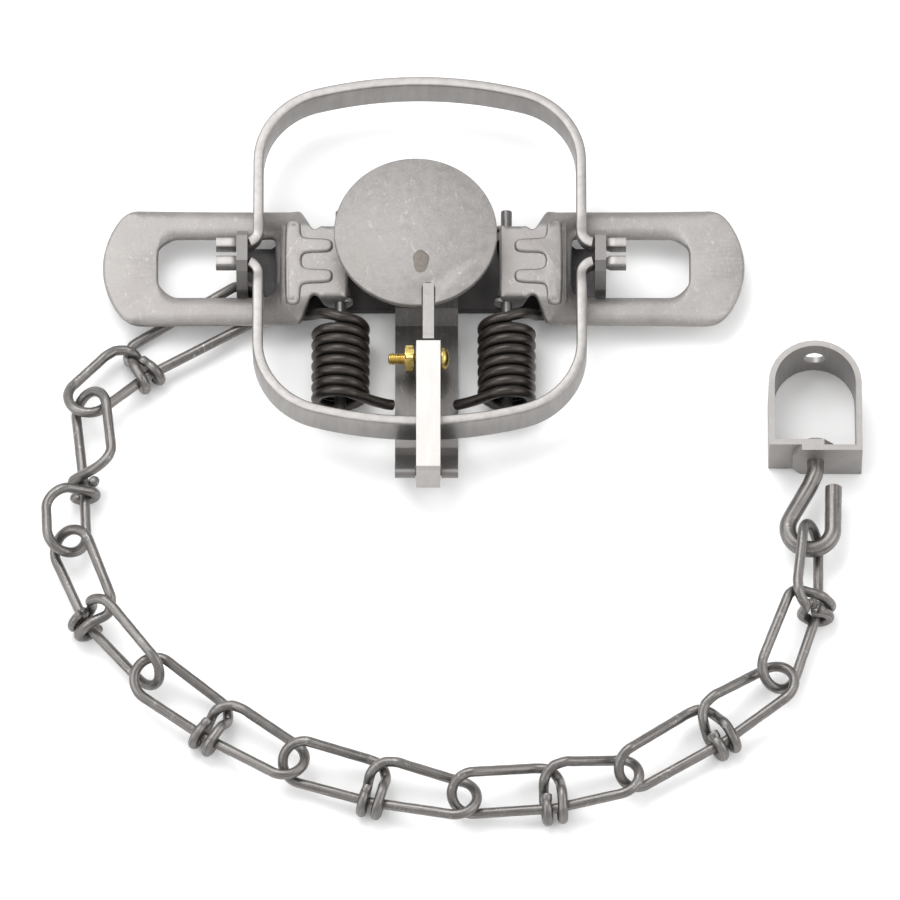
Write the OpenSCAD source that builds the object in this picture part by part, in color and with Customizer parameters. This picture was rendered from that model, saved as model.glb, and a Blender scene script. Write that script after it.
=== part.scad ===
// Double coil-spring foothold trap, set, with double-loop chain and swivel.
// Origin: centre of the base plate's underside. +X right, +Y away, +Z up. Millimetres.

/* [Base] */
// base plate half width
base_hw = 12.5; // [9:0.1:16]
// base plate thickness
base_t = 3; // [2:0.1:4]
// left upright, outer face
up_l = -62.5; // [-66:0.1:-58]
// right upright, outer face
up_r = 60.9; // [56:0.1:66]
// upright thickness
up_t = 3.7; // [2:0.1:5]
// upright height
up_h = 25; // [20:0.1:30]

/* [Jaws] */
// half width between the side bars, on the centre line
jaw_w = 54; // [50:0.1:56]
// middle of the jaws across the trap
jaw_cx = -1.3; // [-3:0.1:3]
// bar thickness
jaw_t = 3.4; // [2.5:0.1:5]
// lower edge of the band, set
jaw_z0 = 10.8; // [10:0.1:14]
// upper edge of the band, set
jaw_z1 = 23.4; // [20:0.1:25]
// corner radius, on the centre line
jaw_rc = 26; // [15:0.5:30]
// bow radius, on the centre line
jaw_rt = 136; // [100:1:300]
// start of the corner
jaw_yc = 33.2; // [28:0.1:40]
// pivot height
piv_z = 20; // [16:0.1:22]
// pivot distance from the middle
piv_y = 3.4; // [2.8:0.1:5]
// journal radius
jour_r = 2.2; // [1.5:0.05:2.5]

/* [Levers and springs] */
// spring rod distance from the middle
rod_x = 27.7; // [24:0.1:32]
// spring rod height
rod_z = 10.5; // [10:0.1:13]
// spring rod radius
rod_r = 1.85; // [1.5:0.05:2.5]
// lever tip distance from the middle
lev_tip = 107.5; // [95:0.5:115]
// lever half width
lev_hw = 21; // [18:0.1:24]
// lever top face
lev_top = 10.4; // [9:0.1:10.5]
// lever sheet thickness
lev_t = 1.6; // [1:0.1:2]
// rail flange depth
lev_fl = 2.4; // [2:0.1:3]
// lever inner end, upper face
lev_in = 15.5; // [15.3:0.1:17]
// window half width
win_hw = 10.7; // [10.4:0.1:12]
// spring wire radius
spr_wire = 1.8; // [1.4:0.05:1.9]
// spring coil radius, on the centre line
spr_r = 8; // [7:0.1:8.5]
// spring turns
spr_n = 7; // [6:1:7]
// spring pitch
spr_p = 3.9; // [3.8:0.05:4.0]

/* [Pan and dog] */
// pan radius
pan_r = 27.2; // [22:0.1:30]
// pan centre
pan_c = [-2.7, 5]; // [-10:0.1:10]
// pan upper face
pan_top = 27.1; // [25:0.1:29]
// pan thickness
pan_t = 2.6; // [2:0.1:4]
// middle of the shank, dog and bolt
mid_x = 1.6; // [0:0.1:3]
// pan bolt position along the cross bar
bolt_y = -35; // [-38:0.1:-32]
// pan bolt height
bolt_z = 12; // [10:0.1:14]
// pan bolt radius
bolt_r = 2.085; // [1.5:0.005:2.5]
// dog pin position along the cross bar
dog_y = -80.6; // [-81:0.1:-80.4]
// dog pin height
dog_z = 20; // [19.6:0.1:20.4]
// dog width
dog_w = 8; // [6:0.1:9]
// dog arm, lower face
dog_z0 = 27; // [26.6:0.1:28]

/* [Chain and swivel] */
// chain wire radius
ch_r = 1.7; // [1.4:0.05:1.9]
// loop end radius, on the centre line
ch_R = 7.2; // [6:0.1:8]
// swivel strap middle
sw_x = 130.3; // [125:0.1:135]
// swivel strap front face
sw_y = -71.7; // [-75:0.1:-65]
// swivel strap width
sw_w = 31; // [26:0.1:36]
// swivel strap length
sw_l = 40.3; // [34:0.1:46]
// swivel strap height
sw_h = 19; // [14:0.1:24]
// swivel strap thickness
sw_t = 2; // [1.6:0.1:3.5]
// stake hole radius in the strap's arch
sw_hole = 3.6; // [2.5:0.05:4]
// swivel shank height
eye_z = 9.2; // [8:0.1:12]
// swivel eye wire radius
eye_r = 2.8; // [2:0.05:3]
// swivel eye ring radius, on the centre line
eye_R = 7.5; // [6:0.1:9]

/* [Hidden] */
$fa = 6;
$fs = 0.4;
bar_x = 1;             // cross bar middle
shank_t = 3.7;
win_a = -49.4;         // window ends
win_b = -88.7;
spr_y0 = -22.6;        // first turn, at the top of the coil
eye_x = 128.4;         // ring centre
eye_y = -96;
eye_j = -77;           // bend below the straight shank
coil_x = rod_x;

// chain: knot, far tip a, far tip b in plan; side of loops a and b; tilts a and b; tip heights a and b
LINKS = [
  [[-92.2, -38.3], [-54.4, -8.65], [-116.6, -51.7], -1, -1, 0, -11.4, 5.7, 9.5],
  [[-112.8, -79.5], [-111.4, -46.4], [-118.1, -104.5], 1, -1, 45.2, 26.8, 9.5, 9.0],
  [[-111.8, -129.1], [-119.2, -97.5], [-87.5, -151.4], 1, 1, 37.3, 67.5, 9.0, 10.0],
  [[-71.8, -170.3], [-94.4, -146.8], [-40.1, -182.1], 1, 1, 16.0, -14.8, 10.0, 8.6],
  [[-17.2, -193.5], [-46.1, -178.5], [17.5, -194.4], 1, 1, 35.9, -16.0, 8.6, 8.8],
  [[43.2, -195.7], [9.4, -192.0], [71.0, -184.6], 1, 1, 39.8, -16.0, 8.8, 9.8],
  [[99.2, -171.8], [64.9, -186.0], [121.3, -147.9], 1, 1, 43.7, -16.0, 9.8, 8.6],
  [[130.8, -124.0], [115.4, -153.1], [128.4, -95.2], 1, 1, 38.9, 67.7, 8.6, 9.9]];
knot_z = 5.5;
wrap_r = 3.65;         // wrap radius around the through wire

function unit(v) = v / norm(v);
function smooth(t) = let (x = max(0, min(1, t))) x * x * (3 - 2 * x);

// one loop of a link as points from the through wire's middle, round the tip, back and into its wrap
function loop_pts(k, t, side, tilt, zt, up) =
  let (R = ch_R, h = norm(t - k), c = R * cos(tilt), L = sqrt(h * h - c * c),
       a = atan2(t[1] - k[1], t[0] - k[0]) - side * atan2(c, L),
       U = [cos(a), sin(a)], V = side * [-sin(a), cos(a)],
       dz = (zt - R * sin(tilt) - knot_z) / L, n = up * [-V[0] * sin(tilt), -V[1] * sin(tilt), cos(tilt)],
       uvw = concat(
         [for (i = [1:3]) [(L - R) * i / 3, 0, 0]],
         [for (i = [1:11]) [L - R + R * sin(i * 180 / 12), R - R * cos(i * 180 / 12), 0]],
         [for (i = [0:3]) [(L - R) + (9.8 - L + R) * i / 3, 2 * R, 0]],
         [for (i = [1:6]) let (b = i * 15) [9.8 - R * sin(b), R + R * cos(b), wrap_r * smooth(i / 6)]],
         [[2.6, 4.0, wrap_r]],
         [for (i = [0:9]) let (g = 90 + i * 25) [2.6, wrap_r * cos(g), wrap_r * sin(g)]]))
  [for (p = uvw) [k[0] + U[0] * p[0] + V[0] * cos(tilt) * p[1], k[1] + U[1] * p[0] + V[1] * cos(tilt) * p[1],
                  knot_z + dz * p[0] + p[1] * sin(tilt)] + n * p[2]];

function rev(p) = [for (i = [len(p) - 1:-1:0]) p[i]];
function link_pts(l) = concat(rev(loop_pts(l[0], l[1], -l[3], l[5], l[7], 1)), [[l[0][0], l[0][1], knot_z]],
                              loop_pts(l[0], l[2], l[4], l[6], l[8], 1));

// round bar along a list of points
module tube(p, r, s = 8) {
  n = len(p);
  t = [for (i = [0:n - 1]) unit(p[min(i + 1, n - 1)] - p[max(i - 1, 0)])];
  n0 = unit(cross(t[0], abs(t[0][2]) < 0.8 ? [0, 0, 1] : [1, 0, 0]));
  e = [for (i = 0, v = n0; i < n; i = i + 1, v = i < n ? unit(v - (v * t[i]) * t[i]) : v) v];
  polyhedron(
    points = [for (i = [0:n - 1]) let (b = cross(t[i], e[i])) for (j = [0:s - 1])
              p[i] + r * (cos(j * 360 / s) * e[i] + sin(j * 360 / s) * b)],
    faces = concat([[for (j = [0:s - 1]) j]], [[for (j = [s - 1:-1:0]) (n - 1) * s + j]],
      [for (i = [0:n - 2]) for (j = [0:s - 1]) [i * s + j, (i + 1) * s + j, i * s + (j + 1) % s]],
      [for (i = [0:n - 2]) for (j = [0:s - 1]) [(i + 1) * s + j, (i + 1) * s + (j + 1) % s, i * s + (j + 1) % s]]));
}

// solid from a side profile (y, z), between two x values
module side(x0, x1, pts) {
  translate([x0, 0, 0]) rotate([90, 0, 90]) linear_extrude(x1 - x0) polygon(pts);
}

module xcyl(x0, x1, y, z, r) {
  translate([x0, y, z]) rotate([0, 90, 0]) cylinder(r = r, h = x1 - x0);
}

module ycyl(y0, y1, x, z, r) {
  translate([x, y1, z]) rotate([90, 0, 0]) cylinder(r = r, h = y1 - y0);
}

module upright(x) {
  difference() {
    side(x, x + up_t, [[-10, 0], [-10, 13], [-7.4, 22.4], [-4.6, up_h], [4.6, up_h], [7.4, 22.4], [10, 13], [10, 0]]);
    for (y = [-piv_y, piv_y]) xcyl(x - 1, x + up_t + 1, y, piv_z, jour_r + 0.05);
  }
}

module lug(x, y0, y1) {
  difference() {
    union() {
      translate([x - 3.2, y0, base_t - 0.5]) cube([6.4, y1 - y0, rod_z - base_t + 0.5]);
      ycyl(y0, y1, x, rod_z, 3.2);
    }
    ycyl(y0 - 1, y1 + 1, x, rod_z, rod_r + 0.04);
  }
}

module base_plate() color([0.3, 0.3, 0.31]) {
  difference() {
    union() {
      linear_extrude(base_t) polygon([[up_l, -10], [-51, -10], [-48, -base_hw], [48, -base_hw], [51, -10], [up_r, -10],
                                      [up_r, 10], [51, 10], [48, base_hw], [-48, base_hw], [-51, 10], [up_l, 10]]);
      upright(up_l);
      upright(up_r - up_t);
      for (x = [-rod_x, rod_x]) { lug(x, 8.8, 11.8); lug(x, -11.8, -8.8); }
    }
    xcyl(up_l - 1, up_l + up_t + 1, -5, 6.1, 2.7);
    for (x = [bar_x - 6, bar_x + 6]) translate([x, 0, -1]) cylinder(r = 2.03, h = base_t + 2);
  }
}

module cross_bar() color([0.33, 0.33, 0.34]) {
  difference() {
    union() {
      side(bar_x - 10.5, bar_x + 10.5, [[11, 3.02], [11, 6.02], [-13.4, 6.02], [-18.6, 3], [-60, 3],
        [-63.60, 3.35], [-67.19, 4.96], [-70.46, 7.71], [-73.48, 11.34], [-76.46, 15.62], [dog_y + 1.12, dog_z + 0.66],
        [dog_y - 1.12, dog_z - 0.66],
        [-78.74, 14.18], [-75.72, 9.66], [-72.54, 5.69], [-68.81, 2.44], [-64.40, 0.45], [-60, 0], [-17.6, 0], [-12.9, 3.02]]);
      xcyl(bar_x - 10.5, bar_x + 10.5, dog_y, dog_z, 1.7);
    }
    translate([mid_x - dog_w / 2 - 0.4, -95, -1]) cube([dog_w + 0.8, 95 - 74.6, 40]);
    xcyl(mid_x - 20, mid_x + 20, dog_y, dog_z, 1.04);
    for (x = [bar_x - 6, bar_x + 6]) translate([x, 0, 2]) cylinder(r = 2.03, h = 6);
  }
}

module frame_rivets() color([0.38, 0.38, 0.39])
  for (x = [bar_x - 6, bar_x + 6]) translate([x, 0, 0]) {
    cylinder(r = 2, h = 6.06);
    translate([0, 0, 6.06]) cylinder(r1 = 3.4, r2 = 2.4, h = 1.3);
  }

module pan_bracket() color([0.36, 0.36, 0.37]) {
  x0 = mid_x - shank_t / 2 - 2.4;
  x1 = mid_x + shank_t / 2 + 0.4;
  difference() {
    union() {
      side(x0, x1 + 2, [[-45, 3.02], [-45, 4.8], [-28, 4.8], [-28, 3.02]]);
      for (x = [x0, x1]) {
        side(x, x + 2, [[-45, 3.4], [-40.6, bolt_z], [-29.4, bolt_z], [-28, 3.4]]);
        xcyl(x, x + 2, bolt_y, bolt_z, 5.6);
      }
    }
    xcyl(x0 - 1, x1 + 3, bolt_y, bolt_z, bolt_r + 0.03);
  }
}

module pan_bolt() color([0.8, 0.62, 0.25]) {
  x1 = mid_x + shank_t / 2 + 2.45;
  xcyl(-11.8, x1, bolt_y, bolt_z, bolt_r);
  translate([x1, bolt_y, bolt_z]) rotate([0, 90, 0])
    rotate_extrude() polygon([[0, 0], [3.9, 0], [3.9, 0.7], [3.5, 1.6], [2.6, 2.3], [1.4, 2.7], [0, 2.8]]);
}

module pan_nut() color([0.82, 0.64, 0.27])
  difference() {
    translate([-6.2, bolt_y, bolt_z]) rotate([0, 90, 0]) linear_extrude(3)
      polygon([for (i = [0:5]) 5.04 * [cos(i * 60 + 12), sin(i * 60 + 12)]]);
    xcyl(-8, 0, bolt_y, bolt_z, bolt_r + 0.03);
  }

module dog_pin() color([0.5, 0.5, 0.5]) xcyl(bar_x - 10.2, bar_x + 10.2, dog_y, dog_z, 1);

module rod(x) color([0.35, 0.35, 0.36]) ycyl(-54.6, 20, x, rod_z, rod_r);
module spring_rod_left() rod(-rod_x);
module spring_rod_right() rod(rod_x);

// coil along the rod, from a leg under the lever over the top and on to a leg at the cross bar; s = -1 left, 1 right
module spring(s) color([0.16, 0.13, 0.11])
  tube(concat(
    [[s * 46, -15.4, 5.1], [s * 42.5, -15.5, 5], [s * 39.4, -15.8, 5.5], [s * 37.6, -16.5, 7], [s * 36.4, -17.4, 9.6]],
    [for (i = [0:3]) let (g = 15 + i * 18.75)
      [s * (coil_x + spr_r * cos(g)), spr_y0 + 0.054 * (90 - g), rod_z + spr_r * sin(g)]],
    [for (i = [0:spr_n * 16 + 2]) let (g = 90 + i * 22.5 - (i > spr_n * 16 ? 2 * (i - spr_n * 16) : 0))
      [s * (coil_x + spr_r * cos(g)), spr_y0 - spr_p * i / 16, rod_z + spr_r * sin(g)]],
    [[s * 17.4, spr_y0 - spr_p * spr_n - 0.35, 12.1], [s * 13.6, spr_y0 - spr_p * spr_n, 8.9],
     [s * 10.6 + bar_x * 0.4, spr_y0 - spr_p * spr_n + 0.6, 6.2]]), spr_wire);
module spring_left() spring(-1);
module spring_right() spring(1);

function jaw_line(o) =
  let (b = acos(-(jaw_w - jaw_rc) / (jaw_rt - jaw_rc)), cy = jaw_yc - (jaw_rt - jaw_rc) * sin(b),
       half = concat([[-jaw_w - o, piv_y - 1.7]],
         [for (i = [0:8]) let (a = 180 + (b - 180) * i / 8) [-jaw_w + jaw_rc + (jaw_rc + o) * cos(a), jaw_yc + (jaw_rc + o) * sin(a)]],
         [for (i = [1:5]) let (a = b + (90 - b) * i / 5) [(jaw_rt + o) * cos(a), cy + (jaw_rt + o) * sin(a)]]))
  concat(half, [for (i = [len(half) - 2:-1:0]) [-half[i][0], half[i][1]]]);

module jaw() {
  difference() {
    translate([jaw_cx, 0, jaw_z0]) linear_extrude(jaw_z1 - jaw_z0)
      polygon(concat(jaw_line(jaw_t / 2), rev(jaw_line(-jaw_t / 2))));
    side(-80, 80, [[-5, 0], [-5, 17.7], [4.6, 17.7], [15.5, jaw_z0 - 0.01], [15.5, 0]]);
    side(-80, 80, [[-5, 22.3], [5.5, 22.3], [11, jaw_z1 + 0.01], [11, 30], [-5, 30]]);
  }
  xcyl(up_l - 1.2, jaw_cx - jaw_w, piv_y, piv_z, jour_r);
  xcyl(jaw_cx + jaw_w, up_r + 1.2, piv_y, piv_z, jour_r);
  translate([-69.5, piv_y - 1.9, piv_z - 2.2]) cube([69.5 + up_l - 0.5, 3.8, 4.4]);
  translate([up_r + 0.5, piv_y - 1.9, piv_z - 2.2]) cube([67.8 - up_r - 0.5, 3.8, 4.4]);
}
module jaw_far() color([0.72, 0.71, 0.69]) jaw();
module jaw_near() color([0.72, 0.71, 0.69]) mirror([0, 1, 0]) jaw();

// left lever; the right one is its mirror image. Flat rails under the jaws, and a raised inner end over the rod
module lever() {
  z0 = lev_top - lev_t;
  difference() {
    translate([0, 0, z0]) linear_extrude(lev_t)
      polygon(concat([[-37.6, 13], [-38.6, 15], [-41, lev_hw], [-94, lev_hw]],
        [for (i = [1:11]) let (a = 90 + i * 15) [-94 + (lev_tip - 94) * cos(a), lev_hw * sin(a)]],
        [[-94, -lev_hw], [-41, -lev_hw], [-38.6, -15], [-37.6, -13]]));
    translate([0, 0, z0 - 1]) linear_extrude(lev_t + 2)
      polygon([[win_a, 8.7], [win_a - 2, win_hw], [win_b + 5, win_hw], [win_b, 6.5], [win_b, -6.5], [win_b + 5, -win_hw], [win_a - 2, -win_hw], [win_a, -8.7]]);
    translate([-47.6, -12.8, z0 - 1]) cube([20, 25.6, lev_t + 2]);
  }
  // raised strip
  translate([0, 14.2, 0]) rotate([90, 0, 0]) linear_extrude(28.4)
    polygon([[-48.2, z0], [-49.2, lev_top - 0.1], [-48.9, lev_top], [-44.4, lev_in], [-25.3, lev_in], [-25.3, lev_in - 1.5], [-43.7, lev_in - 1.5], [-47.4, z0]]);
  for (s = [-1, 1]) {
    translate([-93, s > 0 ? lev_hw - lev_t : -lev_hw, lev_top - lev_fl]) cube([51, lev_t, lev_fl - 0.4]);
    translate([-83, s > 0 ? win_hw : -win_hw - 1.4, lev_top - 2.2]) cube([31, 1.4, 1.8]);
    difference() {
      union() {
        translate([0, s > 0 ? 14.2 : -12.6, 0]) rotate([90, 0, 0]) linear_extrude(1.6)
          polygon([[-48, z0 + 0.1], [-44, lev_in - 0.5], [-25.4, lev_in - 0.5], [-24.4, rod_z + 2.2], [-24.6, rod_z - 2], [-30, rod_z - 3.4], [-36, 8.2], [-44, 8.2]]);
        ycyl(s > 0 ? 12.6 : -14.2, s > 0 ? 14.2 : -12.6, -rod_x, rod_z, 4.1);
      }
      ycyl(-20, 20, -rod_x, rod_z, rod_r + 0.06);
    }
  }
  // bead and prongs
  translate([0, 0, lev_in - 0.4]) linear_extrude(1.2) {
    polygon([[-44.2, 12.4], [-40.9, 12.4], [-40.9, -12.4], [-44.2, -12.4]]);
    for (y = [5.6, -5.6]) polygon([[-41, y + 2.7], [-31.4, y + 2.5], [-30.4, y + 1.2], [-30.4, y - 1.2], [-31.4, y - 2.5], [-41, y - 2.7]]);
  }
}
module lever_left() color([0.56, 0.55, 0.54]) lever();
module lever_right() color([0.56, 0.55, 0.54]) mirror([1, 0, 0]) lever();

module pan_disc() color([0.66, 0.66, 0.65])
  difference() {
    translate([pan_c[0], pan_c[1], pan_top - pan_t]) cylinder(r = pan_r, h = pan_t);
    translate([mid_x - shank_t / 2 - 0.2, -40, pan_top - pan_t - 1]) cube([shank_t + 0.4, 26, pan_t + 2]);
  }

module pan_shank() color([0.6, 0.6, 0.59])
  difference() {
    union() {
      side(mid_x - shank_t / 2, mid_x + shank_t / 2, [[14, 24.45], [-14.2, 24.45], [-14.2, pan_top], [-33, pan_top], [-34.2, 29.4], [-35.6, 29.4],
        [-35.6, 25.6], [-34.4, 23.4], [-34.4, 21], [-38.6, bolt_z], [-31.2, bolt_z], [-29.6, 18], [-26, 20.8], [14, 21.4]]);
      xcyl(mid_x - shank_t / 2, mid_x + shank_t / 2, bolt_y, bolt_z, 4.6);
    }
    xcyl(mid_x - 5, mid_x + 5, bolt_y, bolt_z, bolt_r + 0.05);
  }

module dog() color([0.85, 0.85, 0.84])
  difference() {
    union() {
      side(mid_x - dog_w / 2, mid_x + dog_w / 2, [[-36.2, dog_z0], [-36.2, dog_z0 + 2], [dog_y - 1.6, dog_z0 + 2], [dog_y - 3, dog_z0 + 1.4], [dog_y - 3.4, dog_z0],
        [dog_y - 3.4, dog_z - 4.2], [dog_y - 2.8, dog_z - 4.8], [dog_y - 1.7, dog_z - 4.8], [dog_y - 1.2, dog_z - 4.3], [dog_y - 1.2, dog_z0 - 0.8], [dog_y - 0.4, dog_z0]]);
      xcyl(mid_x - dog_w / 2, mid_x + dog_w / 2, dog_y, dog_z, 2.8);
    }
    xcyl(mid_x - 6, mid_x + 6, dog_y, dog_z, 1.05);
  }

module chain(i) color([0.4, 0.39, 0.38]) tube(link_pts(LINKS[i]), ch_r);
module chain_link_1() chain(0);
module chain_link_2() chain(1);
module chain_link_3() chain(2);
module chain_link_4() chain(3);
module chain_link_5() chain(4);
module chain_link_6() chain(5);
module chain_link_7() chain(6);
module chain_link_8() chain(7);

// straight round bar at one height, from a to b in plan
module bar2(a, b, z, r) {
  translate([a[0], a[1], z]) rotate([0, 90, atan2(b[1] - a[1], b[0] - a[0])]) cylinder(r = r, h = norm(b - a));
}

// shank with a head inside the strap, bent to one side and round into a hook with an open end
module swivel_eye() color([0.45, 0.44, 0.43]) {
  j = [sw_x, eye_j];
  c = [eye_x, eye_y];
  a = atan2(j[1] - c[1], j[0] - c[0]) + acos(eye_R / norm(j - c));
  t = c + eye_R * [cos(a), sin(a)];
  ycyl(eye_j, sw_y + 2 * sw_t + 0.9, sw_x, eye_z, eye_r);
  ycyl(sw_y + 2 * sw_t + 0.5, sw_y + 2 * sw_t + 3.3, sw_x, eye_z, 5);
  translate([j[0], j[1], eye_z]) sphere(r = eye_r + 0.03);
  bar2(j, t + 0.5 * unit(t - j), eye_z, eye_r - 0.05);
  translate([c[0], c[1], eye_z]) rotate([0, 0, a]) rotate_extrude(angle = 360 - a) translate([eye_R, 0]) circle(r = eye_r);
  bar2(c + [eye_R, -0.5], c + [eye_R, 15.5], eye_z, eye_r - 0.05);
}

module swivel_strap() color([0.55, 0.55, 0.54]) {
  r = sw_w / 2;
  yc = sw_y + sw_l - r;
  difference() {
    linear_extrude(sw_h) polygon(concat(
      [[r, sw_y], [r, yc]], [for (i = [1:17]) [r * cos(i * 10), yc + r * sin(i * 10)]], [[-r, yc], [-r, sw_y + sw_t + 0.02], [6, sw_y + sw_t + 0.02],
       [6, sw_y + 2 * sw_t], [sw_t - r, sw_y + 2 * sw_t], [sw_t - r, yc]],
      [for (i = [17:-1:1]) [(r - sw_t) * cos(i * 10), yc + (r - sw_t) * sin(i * 10)]],
      [[r - sw_t, yc], [r - sw_t, sw_y + sw_t], [-7.6, sw_y + sw_t], [-7.6, sw_y]]) + [for (i = [0:45]) [sw_x, 0]]);
    ycyl(sw_y - 1, sw_y + 2 * sw_t + 0.2, sw_x, eye_z, eye_r + 0.08);
    ycyl(yc + 5, yc + r + 5, sw_x, sw_h / 2, sw_hole);
    // clipped corners of the front tab, and of the tab behind it
    translate([sw_x, sw_y + sw_t + 0.01, 0]) rotate([90, 0, 0]) linear_extrude(sw_t + 1) {
      polygon([[-8, sw_h + 1], [-8, sw_h - 4.6], [-7.6, sw_h - 4.6], [-4, sw_h + 1]]);
      polygon([[-8, -1], [-8, 4], [-7.6, 4], [-4.2, -1]]);
    }
    translate([sw_x, sw_y + 2 * sw_t + 1, 0]) rotate([90, 0, 0]) linear_extrude(sw_t + 0.99) {
      polygon([[6.4, sw_h + 1], [6.4, sw_h - 4], [6, sw_h - 4], [2, sw_h + 1]]);
      polygon([[6.4, -1], [6.4, 4], [6, 4], [2, -1]]);
    }
  }
}

base_plate();
cross_bar();
frame_rivets();
pan_bracket();
pan_bolt();
pan_nut();
dog_pin();
spring_rod_left();
spring_rod_right();
spring_left();
spring_right();
jaw_far();
jaw_near();
lever_left();
lever_right();
pan_disc();
pan_shank();
dog();
chain_link_1();
chain_link_2();
chain_link_3();
chain_link_4();
chain_link_5();
chain_link_6();
chain_link_7();
chain_link_8();
swivel_eye();
swivel_strap();
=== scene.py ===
import bpy, bmesh, math
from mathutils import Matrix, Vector


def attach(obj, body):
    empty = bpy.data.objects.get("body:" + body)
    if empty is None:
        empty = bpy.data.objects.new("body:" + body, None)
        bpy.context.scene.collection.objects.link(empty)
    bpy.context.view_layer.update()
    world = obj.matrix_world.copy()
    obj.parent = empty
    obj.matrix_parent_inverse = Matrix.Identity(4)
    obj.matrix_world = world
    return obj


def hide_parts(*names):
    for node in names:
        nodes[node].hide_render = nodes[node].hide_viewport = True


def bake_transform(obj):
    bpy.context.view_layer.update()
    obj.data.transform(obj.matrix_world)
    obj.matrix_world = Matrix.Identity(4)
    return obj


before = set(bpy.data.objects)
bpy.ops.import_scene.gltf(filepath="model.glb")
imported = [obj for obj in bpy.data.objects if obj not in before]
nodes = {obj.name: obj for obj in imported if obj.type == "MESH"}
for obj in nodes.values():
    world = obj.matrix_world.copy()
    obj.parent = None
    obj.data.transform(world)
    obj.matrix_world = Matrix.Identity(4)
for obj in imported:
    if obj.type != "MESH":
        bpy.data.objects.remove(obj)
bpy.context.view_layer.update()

MM = 0.001
scene = bpy.context.scene


# ---------------------------------------------------------------- mesh helpers
def sm(t):
    t = max(0.0, min(1.0, t))
    return t * t * (3 - 2 * t)


def make(name, verts, faces, angle=38, uvs=None):
    me = bpy.data.meshes.new(name)
    me.from_pydata([(x * MM, y * MM, z * MM) for x, y, z in verts], [], faces)
    me.validate()
    bm = bmesh.new()
    bm.from_mesh(me)
    bmesh.ops.recalc_face_normals(bm, faces=bm.faces)
    bm.to_mesh(me)
    bm.free()
    for p in me.polygons:
        p.use_smooth = True
    me.set_sharp_from_angle(angle=math.radians(angle))
    ob = bpy.data.objects.new(name, me)
    scene.collection.objects.link(ob)
    return ob


def catmull(pts, k):
    out = []
    n = len(pts)
    P = [Vector(p) for p in pts]
    for i in range(n - 1):
        a, b, c, d = P[max(i - 1, 0)], P[i], P[i + 1], P[min(i + 2, n - 1)]
        for j in range(k):
            t = j / k
            out.append(0.5 * ((2 * b) + (c - a) * t + (2 * a - 5 * b + 4 * c - d) * t * t + (3 * b - a - 3 * c + d) * t * t * t))
    out.append(P[-1])
    return out


def tube(name, pts, r, sides=16, wob=0.0, cap=0.35, seed=0.0):
    """Round wire along points, with rounded cut ends and a lengthwise coordinate stored for the material."""
    P = [Vector(p) for p in pts]
    n = len(P)
    T = [(P[min(i + 1, n - 1)] - P[max(i - 1, 0)]).normalized() for i in range(n)]
    e = T[0].cross(Vector((0, 0, 1)) if abs(T[0].z) < 0.8 else Vector((1, 0, 0))).normalized()
    rings, s = [], 0.0
    stations = []
    for i in range(n):
        e = (e - T[i] * e.dot(T[i])).normalized()
        if i:
            s += (P[i] - P[i - 1]).length
        k = 1 + wob * (math.sin(s * 0.9 + seed) + 0.6 * math.sin(s * 0.37 + 2.1 * seed))
        stations.append((P[i], T[i], e.copy(), r * k, s))
    a, b = stations[0], stations[-1]
    front = [(a[0] - a[1] * cap * 0.0, a[1], a[2], a[3] * 0.72, a[4]), (a[0] + a[1] * cap, a[1], a[2], a[3], a[4] + cap)]
    back = [(b[0] - b[1] * cap, b[1], b[2], b[3], b[4] - cap), (b[0], b[1], b[2], b[3] * 0.72, b[4])]
    stations = front + [q for q in stations[1:-1] if cap < q[4] < b[4] - cap] + back
    verts, faces = [], []
    for p, t, ee, rr, ss in stations:
        bb = t.cross(ee)
        for j in range(sides):
            g = 2 * math.pi * j / sides
            verts.append(p + ee * (rr * math.cos(g)) + bb * (rr * math.sin(g)))
    m = len(stations)
    for i in range(m - 1):
        for j in range(sides):
            j2 = (j + 1) % sides
            faces.append((i * sides + j, (i + 1) * sides + j, (i + 1) * sides + j2, i * sides + j2))
    faces.append(tuple(range(sides)))
    faces.append(tuple((m - 1) * sides + j for j in range(sides - 1, -1, -1)))
    ob = make(name, verts, faces, 55)
    along = ob.data.attributes.new("wire", "FLOAT_VECTOR", "POINT")
    vals = []
    for p, t, ee, rr, ss in stations:
        for j in range(sides):
            g = 2 * math.pi * j / sides
            vals += [ss * 0.001 + seed, 0.0017 * math.cos(g), 0.0017 * math.sin(g)]
    along.data.foreach_set("vector", vals)
    return ob


def chaikin(p, k, closed=True):
    for _ in range(k):
        q = []
        n = len(p)
        for i in range(n if closed else n - 1):
            a, b = p[i], p[(i + 1) % n]
            q.append((a[0] * 0.75 + b[0] * 0.25, a[1] * 0.75 + b[1] * 0.25))
            q.append((a[0] * 0.25 + b[0] * 0.75, a[1] * 0.25 + b[1] * 0.75))
        p = q
    return p


def resample(p, step):
    n = len(p)
    L = [0.0]
    for i in range(n):
        a, b = p[i], p[(i + 1) % n]
        L.append(L[-1] + math.hypot(b[0] - a[0], b[1] - a[1]))
    m = max(12, int(L[-1] / step))
    out, i = [], 0
    for k in range(m):
        d = L[-1] * k / m
        while L[i + 1] < d:
            i += 1
        a, b = p[i], p[(i + 1) % n]
        t = (d - L[i]) / max(1e-9, L[i + 1] - L[i])
        out.append((a[0] + (b[0] - a[0]) * t, a[1] + (b[1] - a[1]) * t))
    return out


def area(p):
    return 0.5 * sum(p[i][0] * p[(i + 1) % len(p)][1] - p[(i + 1) % len(p)][0] * p[i][1] for i in range(len(p)))


def normals_in(p, into_left):
    """Unit normals of a closed loop, to its left or right hand."""
    out, n = [], len(p)
    for i in range(n):
        a, b = p[i - 2], p[(i + 2) % n]
        dx, dy = b[0] - a[0], b[1] - a[1]
        d = math.hypot(dx, dy) or 1
        out.append((-dy / d, dx / d) if into_left else (dy / d, -dx / d))
    return out


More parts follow.
